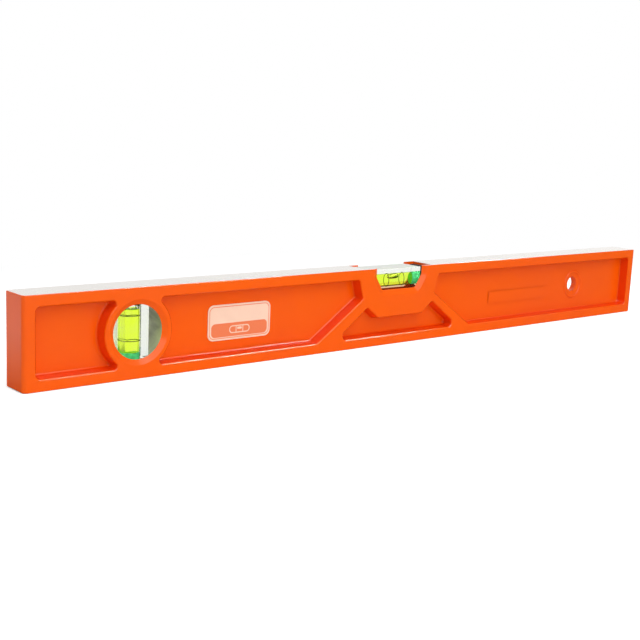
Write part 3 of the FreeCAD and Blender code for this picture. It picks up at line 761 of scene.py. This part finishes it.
class DressBeam(bpy.types.Operator):
    """Paints the cast beam and leaves its milled faces and seats bare"""

    bl_idname = "level.dress_beam"
    bl_label = "Dress Beam"

    def execute(self, context):
        settings = context.scene.level_paint
        work = bmesh.new()
        work.from_mesh(NODES["frame"].data)
        bmesh.ops.remove_doubles(work, verts=work.verts, dist=0.002 * MM)
        work.normal_update()
        for face in work.faces:
            face.smooth = True
            face.material_index = self.finish_of(face)
        normals = corner_normals(work, settings.strip_width)
        mesh = bpy.data.meshes.new("beam")
        work.to_mesh(mesh)
        work.free()
        mesh.normals_split_custom_set(normals)
        self.mark_shaded_walls(mesh)
        finishes = [paint_material(settings), milled_material(settings), bored_material(settings)]
        finish_piece("beam", mesh, finishes, ["frame"])
        return {"FINISHED"}

    @staticmethod
    def mark_shaded_walls(mesh):
        """Marks the walls of the recesses in an attribute, for the darker colour painted on them as
        shade.
        """
        wall_shade = mesh.attributes.new("wall_shade", "FLOAT", "CORNER")
        for face in mesh.polygons:
            middle = face.center
            depths = [abs(mesh.vertices[i].co.y) for i in face.vertices]
            inside = max(depths) < FRAME_HIGH.y - 0.3 * MM
            wall = inside or abs(middle.y) < FRAME_HIGH.y - 1.5 * MM
            wall = wall and max(depths) > WEB_FACE
            within = abs(middle.x) < FRAME_HIGH.x - END_WALL and face.material_index == 0
            by_window = from_window(middle) < BOSS_REACH
            by_notch = abs(middle.x) < NOTCH_REACH and middle.z > FRAME_HIGH.z - NOTCH_DEPTH
            within = within and not by_window and not by_notch
            # The more a wall turns from the front, the more painted shade it gets
            for corner in face.loop_indices:
                slope = 1 - abs(mesh.corner_normals[corner].vector.y)
                wall_shade.data[corner].value = min(1.0, 1.2 * slope) if wall and within else 0.0

    @staticmethod
    def finish_of(face):
        """0 for paint, 1 for a milled face, 2 for the bare wall of a seat."""
        centre = face.calc_center_median()
        heights = [vertex.co.z for vertex in face.verts]
        if min(heights) > FRAME_HIGH.z - SKIN or max(heights) < FRAME_LOW.z + SKIN:
            return 1
        farthest = max(from_window(vertex.co) for vertex in face.verts)
        in_window = farthest < WINDOW_REACH and abs(centre.y) < WINDOW_DEPTH
        by_plumb = abs(centre.x - PLUMB_MID.x) < SEAT_REACH and centre.y > SEAT_FRONT
        seat_low, seat_high = PLUMB_LOW.z - SEAT_MARGIN, PLUMB_HIGH.z + SEAT_MARGIN
        in_seat = by_plumb and min(heights) > seat_low and max(heights) < seat_high
        in_magnet_seat = max(heights) < MAGNET_SEAT and abs(centre.y) < MAGNET_SEAT
        return 2 if in_window or in_seat or in_magnet_seat else 0


class MakeBlocks(bpy.types.Operator):
    """Makes the two clear blocks"""

    bl_idname = "level.make_blocks"
    bl_label = "Make Blocks"

    def execute(self, context):
        settings = context.scene.level_vials
        clear = acrylic_material("clear_acrylic", settings, 0.02)
        corner = LEVEL_HIGH - Vector((settings.block_gap, 0, settings.block_drop))
        mesh = bevelled_box("level_vial_block", LEVEL_LOW, corner, settings.block_edge)
        stain_top = LEVEL_BORE - BORE_RADIUS + 1.2 * MM
        stained = acrylic_material("bedded_acrylic", settings, 0.02, stain_top)
        finishes = [stained, ground_material(settings), bedding_material(settings)]
        finish_piece("level_vial_block", mesh, finishes, ["level_block"], True)
        for face in mesh.polygons:
            if face.center.z > corner.z - 0.9 * settings.block_edge:
                face.material_index = 1
            elif face.center.z < LEVEL_LOW.z + 0.9 * settings.block_edge:
                face.material_index = 2
        mesh = bevelled_box("plumb_vial_block", PLUMB_LOW, PLUMB_HIGH, settings.upright_edge)
        finishes = [clear, acrylic_material("satin_acrylic", settings, 0.3)]
        finish_piece("plumb_vial_block", mesh, finishes, ["plumb_block"], True)
        for face in mesh.polygons:
            if abs(face.normal.x) > 0.99:
                face.material_index = 1
        return {"FINISHED"}


def meniscus_profile(surface, rise, steps=8):
    """The hollow top of the liquid, from near the wall to the axis."""
    points = []
    for step in range(1, steps + 1):
        share = step / steps
        radius = BORE_RADIUS * (1 - share) if step < steps else 0
        points.append((surface + rise * (1 - share) ** 4, radius))
    return points


class MakeLiquids(bpy.types.Operator):
    """Makes the liquids with their bubbles"""

    bl_idname = "level.make_liquids"
    bl_label = "Make Liquids"

    def execute(self, context):
        settings = context.scene.level_vials
        liquid = liquid_material(settings)
        start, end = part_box("level_liquid")[0].x, plugged_end(settings) - settings.plug_length
        edge = 0.6 * MM
        rounded = rounded_end(0, BORE_RADIUS, edge, 1)
        profile = [(0, 0)] + [(edge - along, radius) for along, radius in reversed(rounded)]
        profile += rounded_end(end - start - edge, BORE_RADIUS, edge, 1)
        profile += [(end - start, 0)]
        mesh = turned_mesh("level_vial_liquid", profile, (1, 0, 0), (start, 0, LEVEL_BORE))
        finish_piece("level_vial_liquid", mesh, [liquid], ["level_liquid"])
        self.make_bubble(settings)
        self.make_plumb(settings, liquid)
        return {"FINISHED"}

    @staticmethod
    def make_plumb(settings, liquid):
        """The liquid of the upright vial, and the air over it."""
        low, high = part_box("plumb_liquid")
        surface = high.z - low.z
        edge = 0.5 * MM
        profile = [(0, 0), (0, BORE_RADIUS - edge)]
        for angle in (0.5, 1.0, math.pi / 2):
            radius = BORE_RADIUS - edge * (1 - math.sin(angle))
            profile.append((edge * (1 - math.cos(angle)), radius))
        profile += [(surface + settings.meniscus, BORE_RADIUS)]
        profile += meniscus_profile(surface, settings.meniscus)
        mesh = turned_mesh("plumb_vial_liquid", profile, (0, 0, 1), (PLUMB_MID.x, 0, low.z))
        finish_piece("plumb_vial_liquid", mesh, [liquid], ["plumb_liquid"])
        surface += 0.03 * MM
        dome = 1.2 * MM
        top = PLUMB_RINGS[1].z + 7.5 * MM - low.z
        profile = list(reversed(meniscus_profile(surface, settings.meniscus)))
        profile += [(surface + settings.meniscus, BORE_RADIUS)]
        profile += rounded_end(top - dome, BORE_RADIUS, dome, 1)
        profile += [(top + 0.2 * MM, 0)]
        mesh = turned_mesh("plumb_vial_air", profile, (0, 0, 1), (PLUMB_MID.x, 0, low.z))
        finish_piece("plumb_vial_air", mesh, [air_material(AIR_IN_ACRYLIC)])

    @staticmethod
    def make_bubble(settings):
        """The long bubble under the roof of the level vial's bore."""
        work = bmesh.new()
        bmesh.ops.create_uvsphere(work, u_segments=64, v_segments=32, radius=1.0)
        half = settings.bubble_height / 2
        roof = BORE_RADIUS - 0.06 * MM
        for vertex in work.verts:
            x, y, z = vertex.co
            blunt = math.copysign(abs(x) ** 0.75, x)
            x = settings.bubble_place + blunt * settings.bubble_length / 2
            y = y * settings.bubble_width / 2
            z = roof - half + math.copysign(abs(z) ** 0.8, z) * half
            z = min(z, math.sqrt(roof ** 2 - y ** 2))
            vertex.co = (x, y, z + LEVEL_BORE)
        mesh = mesh_from(work, "level_vial_bubble")
        finish_piece("level_vial_bubble", mesh, [air_material(AIR_IN_LIQUID)])


def repeat_tree(name, inputs):
    """A Geometry Nodes tree with these inputs and a material, and its two end nodes."""
    inputs = [*inputs, ("Material", "NodeSocketMaterial", None)]
    return new_group(name, inputs, [("Geometry", "NodeSocketGeometry")], "GeometryNodeTree")


def repeat_piece(tree, start, end, points, piece):
    """Puts the piece on each point, makes the copies real and gives them the material."""
    link = tree.links.new
    row = tree.nodes.new("GeometryNodeInstanceOnPoints")
    link(points, row.inputs["Points"])
    link(piece, row.inputs["Instance"])
    real = tree.nodes.new("GeometryNodeRealizeInstances")
    link(row.outputs["Instances"], real.inputs["Geometry"])
    coat = tree.nodes.new("GeometryNodeSetMaterial")
    link(real.outputs["Geometry"], coat.inputs["Geometry"])
    link(start.outputs["Material"], coat.inputs["Material"])
    link(coat.outputs["Geometry"], end.inputs["Geometry"])


def ring_tree():
    """Rings on a line: one ring, repeated along the bore."""
    tree, start, end = repeat_tree(
        "ring_row",
        [
            ("Radius", "NodeSocketFloat", 0.005),
            ("Width", "NodeSocketFloat", 0.0009),
            ("Thickness", "NodeSocketFloat", 0.00025),
            ("Spacing", "NodeSocketFloat", 0.0158),
            ("Count", "NodeSocketInt", 2),
        ],
    )
    link = tree.links.new
    circle = tree.nodes.new("GeometryNodeCurvePrimitiveCircle")
    circle.inputs["Resolution"].default_value = 96
    link(start.outputs["Radius"], circle.inputs["Radius"])
    section = tree.nodes.new("GeometryNodeCurvePrimitiveQuadrilateral")
    link(start.outputs["Thickness"], section.inputs["Width"])
    link(start.outputs["Width"], section.inputs["Height"])
    ring = tree.nodes.new("GeometryNodeCurveToMesh")
    link(circle.outputs["Curve"], ring.inputs["Curve"])
    link(section.outputs["Curve"], ring.inputs["Profile Curve"])
    offset = tree.nodes.new("ShaderNodeCombineXYZ")
    link(start.outputs["Spacing"], offset.inputs["Z"])
    line = tree.nodes.new("GeometryNodeMeshLine")
    link(start.outputs["Count"], line.inputs["Count"])
    link(offset.outputs[0], line.inputs["Offset"])
    repeat_piece(tree, start, end, line.outputs["Mesh"], ring.outputs["Mesh"])
    return tree


def evaluate_tree(tree, name, values):
    """Runs a Geometry Nodes tree on an empty mesh and returns its result as a plain mesh."""
    holder = bpy.data.objects.new(name + "_source", bpy.data.meshes.new(name + "_source"))
    bpy.context.scene.collection.objects.link(holder)
    modifier = holder.modifiers.new("tree", "NODES")
    modifier.node_group = tree
    items = tree.interface.items_tree
    sockets = {item.name: item.identifier for item in items if item.in_out == "INPUT"}
    for label, value in values.items():
        modifier[sockets[label]] = value
    graph = bpy.context.evaluated_depsgraph_get()
    graph.update()
    mesh = bpy.data.meshes.new_from_object(holder.evaluated_get(graph))
    holder.modifiers.clear()
    bpy.data.objects.remove(holder)
    mesh.name = name
    return mesh


class MakeRings(bpy.types.Operator):
    """Makes the graduation rings of both vials"""

    bl_idname = "level.make_rings"
    bl_label = "Make Rings"

    def execute(self, context):
        settings = context.scene.level_vials
        print_ink = matt_material("black_ring", settings.ring, 0.55)
        low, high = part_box("level_ring_left")
        outer = (high.z - low.z) / 2
        thickness = outer - BORE_RADIUS
        tree = ring_tree()
        values = {
            "Radius": outer - thickness / 2 + 0.02 * MM,
            "Width": settings.ring_width * (high.x - low.x),
            "Thickness": thickness,
            "Spacing": (LEVEL_RINGS[1] - LEVEL_RINGS[0]).length,
            "Count": 2,
            "Material": print_ink,
        }
        for name, first, turn, nodes in (
            ("level_vial_rings", LEVEL_RINGS[0], 90, ["level_ring_left", "level_ring_right"]),
            ("plumb_vial_rings", PLUMB_RINGS[0], 0, ["plumb_ring_lower", "plumb_ring_upper"]),
        ):
            mesh = evaluate_tree(tree, name, values)
            mesh.transform(Matrix.Translation(first) @ Matrix.Rotation(math.radians(turn), 4, "Y"))
            finish_piece(name, mesh, [], nodes, True)
        return {"FINISHED"}


class MakePlugs(bpy.types.Operator):
    """Makes the two plugs"""

    bl_idname = "level.make_plugs"
    bl_label = "Make Plugs"

    def execute(self, context):
        settings = context.scene.level_vials
        green = plug_material(settings)
        inner = plugged_end(settings) - settings.plug_length
        base = (inner, 0, LEVEL_BORE)
        mesh = self.plug_mesh("level_vial_plug", settings.plug_length, (1, 0, 0), base)
        finish_piece("level_vial_plug", mesh, [green], ["level_plug"])
        low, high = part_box("plumb_plug")
        base = (PLUMB_MID.x, 0, high.z)
        mesh = self.plug_mesh("plumb_vial_plug", high.z - low.z, (0, 0, -1), base)
        finish_piece("plumb_vial_plug", mesh, [green], ["plumb_plug"])
        return {"FINISHED"}

    @staticmethod
    def plug_mesh(name, length, axis, base):
        """A plug with a domed inner end and a round dimple in its outer end."""
        gap = 0.04 * MM
        radius = BORE_RADIUS - 0.02 * MM
        edge = 0.5 * MM
        profile = [(gap, 0), (gap + 0.03 * MM, radius - edge - 0.8 * MM)]
        profile += [
            (gap + edge * (1 - math.cos(angle)), radius - edge * (1 - math.sin(angle)))
            for angle in (0.1, 0.5, 1.0, math.pi / 2)
        ]
        profile += rounded_end(length - edge, radius, edge, 1)
        profile += [
            (length, radius * 0.5),
            (length - 0.2 * MM, radius * 0.46),
            (length - 0.9 * MM, radius * 0.38),
            (length - 1.0 * MM, radius * 0.3),
            (length - 1.0 * MM, 0),
        ]
        return turned_mesh(name, profile, axis, base)


class MakePads(bpy.types.Operator):
    """Makes the dark pads at the ends of the blocks"""

    bl_idname = "level.make_pads"
    bl_label = "Make Pads"

    def execute(self, context):
        settings = context.scene.level_vials
        rubber = matt_material("dark_rubber", settings.pad, 0.75)
        for node in ("level_pad_left", "level_pad_right", "plumb_pad_upper", "plumb_pad_lower"):
            low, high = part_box(node)
            top = high.copy()
            if node.startswith("level"):
                top.z -= settings.pad_drop
            mesh = bevelled_box("dark_" + node, low, top, 0.25 * MM, 2)
            finish_piece("dark_" + node, mesh, [rubber], [node], True)
        return {"FINISHED"}


class MakeLabel(bpy.types.Operator):
    """Makes the printed label plate"""

    bl_idname = "level.make_label"
    bl_label = "Make Label"

    def execute(self, context):
        settings = context.scene.level_label
        back, front = LABEL_HIGH.y, LABEL_LOW.y
        edge = 0.12 * MM
        half_length = (LABEL_HIGH.x - LABEL_LOW.x) / 2
        half_height = (LABEL_HIGH.z - LABEL_LOW.z) / 2
        work = bmesh.new()
        loops = []
        for y, inset in ((back, 0), (front + edge, 0), (front, edge)):
            points = self.outline(half_length, half_height, settings.corner, y, inset)
            loops.append([work.verts.new(point) for point in points])
        bridge(work, loops)
        work.faces.new(loops[0])
        work.faces.new(loops[-1])
        mesh = mesh_from(work, "printed_label")
        finishes = [label_material(settings)]
        finish_piece("printed_label", mesh, finishes, ["label_plate"], True)
        return {"FINISHED"}

    @staticmethod
    def outline(half_length, half_height, corner, y, inset, steps=10):
        """Points round the plate, moved inwards by the inset."""
        points = []
        radius = corner - inset
        for quarter, (sx, sz) in enumerate(((1, 1), (-1, 1), (-1, -1), (1, -1))):
            cx = LABEL_MID.x + sx * (half_length - corner)
            cz = LABEL_MID.z + sz * (half_height - corner)
            for step in range(steps + 1):
                angle = math.pi / 2 * (quarter + step / steps)
                points.append((cx + radius * math.cos(angle), y, cz + radius * math.sin(angle)))
        return points


def magnet_tree():
    """Bars on the base: pairs of points on each side of the middle carry one bar each."""
    tree, start, end = repeat_tree(
        "bar_rows",
        [
            ("Bar", "NodeSocketObject", None),
            ("Outer place", "NodeSocketFloat", 0.2),
            ("Spacing", "NodeSocketFloat", 0.1),
        ],
    )
    link = tree.links.new
    bar = tree.nodes.new("GeometryNodeObjectInfo")
    link(start.outputs["Bar"], bar.inputs["Object"])
    join = tree.nodes.new("GeometryNodeJoinGeometry")
    for sign in (-1.0, 1.0):
        first = tree.nodes.new("ShaderNodeCombineXYZ")
        step = tree.nodes.new("ShaderNodeCombineXYZ")
        for socket, source, factor in ((first, "Outer place", sign), (step, "Spacing", -sign)):
            scaled = math_node(tree, "MULTIPLY", start.outputs[source], factor)
            link(scaled, socket.inputs["X"])
        line = tree.nodes.new("GeometryNodeMeshLine")
        line.inputs["Count"].default_value = 2
        link(first.outputs[0], line.inputs["Start Location"])
        link(step.outputs[0], line.inputs["Offset"])
        link(line.outputs["Mesh"], join.inputs["Geometry"])
    repeat_piece(tree, start, end, join.outputs["Geometry"], bar.outputs["Geometry"])
    return tree


class MakeMagnets(bpy.types.Operator):
    """Makes the bar magnets in the base"""

    bl_idname = "level.make_magnets"
    bl_label = "Make Magnets"

    def execute(self, context):
        settings = context.scene.level_magnets
        low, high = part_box("magnet_4")
        outer = middle_of("magnet_4").x
        shift = Vector((outer, 0, 0))
        mesh = bevelled_box("bar", low - shift, high - shift, settings.edge)
        bar = bpy.data.objects.new("bar", mesh)
        context.scene.collection.objects.link(bar)
        values = {
            "Bar": bar,
            "Outer place": outer,
            "Spacing": outer - middle_of("magnet_3").x,
            "Material": nickel_material(settings),
        }
        mesh = evaluate_tree(magnet_tree(), "base_magnets", values)
        bpy.data.objects.remove(bar)
        nodes = ["magnet_%d" % number for number in range(1, 5)]
        finish_piece("base_magnets", mesh, [], nodes, True)
        return {"FINISHED"}


class SetStage(bpy.types.Operator):
    """Sets up the camera, the floor and the soft light"""

    bl_idname = "level.set_stage"
    bl_label = "Set Stage"

    def execute(self, context):
        settings = context.scene.level_stage
        self.add_camera(context.scene, settings)
        self.add_floor(context.scene, settings)
        for name, power, size, place, on_matt in (
            ("key_lamp", settings.key, (2.4, 2.0), (-0.2, -1.8, 1.1), True),
            ("top_lamp", settings.top, (1.7, 1.7), (-0.2, -0.5, 1.6), True),
            ("streak_lamp", settings.streak, (0.25, 0.65), (0.65, -0.18, 1.1), False),
            ("spot_lamp", settings.spot, (0.12, 0.12), (-0.75, -0.65, 1.0), False),
        ):
            self.add_lamp(name, power, size, place, on_matt)
        self.set_world(context.scene, settings)
        context.scene.view_settings.view_transform = "Standard"
        return {"FINISHED"}

    @staticmethod
    def add_camera(scene, settings):
        """The camera at the photograph's angle."""
        ahead = Vector((
            math.sin(settings.yaw) * math.cos(settings.pitch),
            math.cos(settings.yaw) * math.cos(settings.pitch),
            math.sin(settings.pitch),
        ))
        level_right = Vector((math.cos(settings.yaw), -math.sin(settings.yaw), 0))
        level_up = level_right.cross(ahead)
        right = math.cos(settings.roll) * level_right + math.sin(settings.roll) * level_up
        up = -math.sin(settings.roll) * level_right + math.cos(settings.roll) * level_up
        data = bpy.data.cameras.new("camera")
        data.sensor_width = 36
        data.lens = settings.lens
        data.clip_start = 0.01
        camera = bpy.data.objects.new("camera", data)
        scene.collection.objects.link(camera)
        turn = Matrix((right, up, -ahead)).transposed().to_4x4()
        camera.matrix_world = Matrix.Translation(settings.place) @ turn
        scene.camera = camera

    @staticmethod
    def add_floor(scene, settings):
        """A wide floor that looks white to the camera and keeps the shadow."""
        work = bmesh.new()
        bmesh.ops.create_grid(work, x_segments=1, y_segments=1, size=12.0)
        mesh = bpy.data.meshes.new("floor")
        work.to_mesh(mesh)
        work.free()
        material, tree, shader = new_material("pale_floor", Roughness=0.9, Specular_IOR_Level=0.0)
        shader.inputs["Base Color"].default_value = (*settings.floor, 1)
        path = tree.nodes.new("ShaderNodeLightPath").outputs
        seen = looked_at(tree, path)
        glow = tree.nodes.new("ShaderNodeEmission")
        tree.links.new(math_node(tree, "MULTIPLY", seen, 0.45), glow.inputs["Strength"])
        near = tree.nodes.new("ShaderNodeAddShader")
        tree.links.new(shader.outputs[0], near.inputs[0])
        tree.links.new(glow.outputs[0], near.inputs[1])
        white = add_node(tree, "ShaderNodeEmission", Strength=1.0)
        place = object_place(tree)
        beyond = math_node(tree, "SUBTRACT", math_node(tree, "ABSOLUTE", place["X"]), FRAME_HIGH.x)
        beyond = math_node(tree, "MAXIMUM", beyond, 0.0)
        squares = [math_node(tree, "MULTIPLY", value, value) for value in (beyond, place["Y"])]
        distance = math_node(tree, "SQRT", math_node(tree, "ADD", *squares))
        far = range_node(tree, distance, 0.12, 0.45, 0.0, 1.0)
        behind = range_node(tree, place["Y"], -0.02, 0.15, 0.0, 1.0)
        right = range_node(tree, place["X"], -0.8, -0.1, 0.3, 1.0)
        mirrored = tree.nodes.new("ShaderNodeEmission")
        tree.links.new(mirrored_light(tree, path, behind, right), mirrored.inputs["Strength"])
        plain = mix_shaders(tree, math_node(tree, "MULTIPLY", far, seen), near, white)
        both = mix_shaders(tree, path["Is Glossy Ray"], plain, mirrored)
        tree.links.new(both.outputs[0], tree.nodes["Material Output"].inputs["Surface"])
        floor = bpy.data.objects.new("floor", mesh)
        mesh.materials.append(material)
        floor.location.z = -0.0002
        scene.collection.objects.link(floor)

    @staticmethod
    def add_lamp(name, power, size, place, on_matt):
        """A soft lamp that looks at the beam; without matt light it only gives highlights."""
        data = bpy.data.lights.new(name, "AREA")
        data.shape = "RECTANGLE"
        data.energy = power
        data.size, data.size_y = size
        lamp = bpy.data.objects.new(name, data)
        turn = (FRAME_MID - Vector(place)).to_track_quat("-Z", "Y")
        lamp.matrix_world = Matrix.Translation(place) @ turn.to_matrix().to_4x4()
        lamp.visible_diffuse = on_matt
        bpy.context.scene.collection.objects.link(lamp)

    @staticmethod
    def set_world(scene, settings):
        """Even light all round, and white where the camera or glass looks past the object."""
        world = bpy.data.worlds.new("studio")
        world.use_nodes = True
        tree = world.node_tree
        background = tree.nodes["Background"]
        background.inputs["Color"].default_value = (1, 1, 1, 1)
        path = tree.nodes.new("ShaderNodeLightPath").outputs
        seen = looked_at(tree, path)
        direction = object_place(tree, "Generated")
        behind = range_node(tree, direction["Y"], 0.0, 0.5, 0.0, 1.0)
        right = range_node(tree, direction["X"], -0.6, 0.3, 0.3, 1.0)
        above = range_node(tree, direction["Z"], 0.5, 0.9, 0.0, 1.0)
        gloss = math_node(tree, "MAXIMUM", mirrored_light(tree, path, behind, right), above)
        shown = math_node(tree, "MULTIPLY", path["Is Glossy Ray"], gloss)
        shown = math_node(tree, "MAXIMUM", shown, seen)
        other = math_node(tree, "MAXIMUM", path["Is Glossy Ray"], seen)
        dull = math_node(tree, "SUBTRACT", 1.0, other)
        strength = math_node(tree, "ADD", math_node(tree, "MULTIPLY", dull, settings.fill), shown)
        tree.links.new(strength, background.inputs["Strength"])
        scene.world = world


class LEVEL_PT_panel(bpy.types.Panel):
    """Lists the steps in the sidebar"""

    bl_label = "Level"
    bl_idname = "LEVEL_PT_panel"
    bl_space_type = "VIEW_3D"
    bl_region_type = "UI"
    bl_category = "Level"

    def draw(self, context):
        for step in STEPS:
            self.layout.operator(step.bl_idname)
        for name, kind in SETTINGS.items():
            box = self.layout.box()
            group = getattr(context.scene, name)
            for setting in kind.__annotations__:
                box.prop(group, setting)


STEPS = (
    DressBeam,
    MakeBlocks,
    MakeLiquids,
    MakeRings,
    MakePlugs,
    MakePads,
    MakeLabel,
    MakeMagnets,
    SetStage,
)
SETTINGS = {
    "level_paint": PaintSettings,
    "level_vials": VialSettings,
    "level_label": LabelSettings,
    "level_magnets": MagnetSettings,
    "level_stage": StageSettings,
}


def register():
    """Adds the settings, the operators and the panel."""
    for name, kind in SETTINGS.items():
        bpy.utils.register_class(kind)
        setattr(bpy.types.Scene, name, bpy.props.PointerProperty(type=kind))
    for kind in (*STEPS, LEVEL_PT_panel):
        bpy.utils.register_class(kind)


def unregister():
    """Takes them away again."""
    for kind in (LEVEL_PT_panel, *reversed(STEPS)):
        bpy.utils.unregister_class(kind)
    for name, kind in SETTINGS.items():
        delattr(bpy.types.Scene, name)
        bpy.utils.unregister_class(kind)


def main():
    """Runs every step in order."""
    register()
    bpy.ops.level.dress_beam()
    bpy.ops.level.make_blocks()
    bpy.ops.level.make_liquids()
    bpy.ops.level.make_rings()
    bpy.ops.level.make_plugs()
    bpy.ops.level.make_pads()
    bpy.ops.level.make_label()
    bpy.ops.level.make_magnets()
    bpy.ops.level.set_stage()


if __name__ == "__main__":
    main()
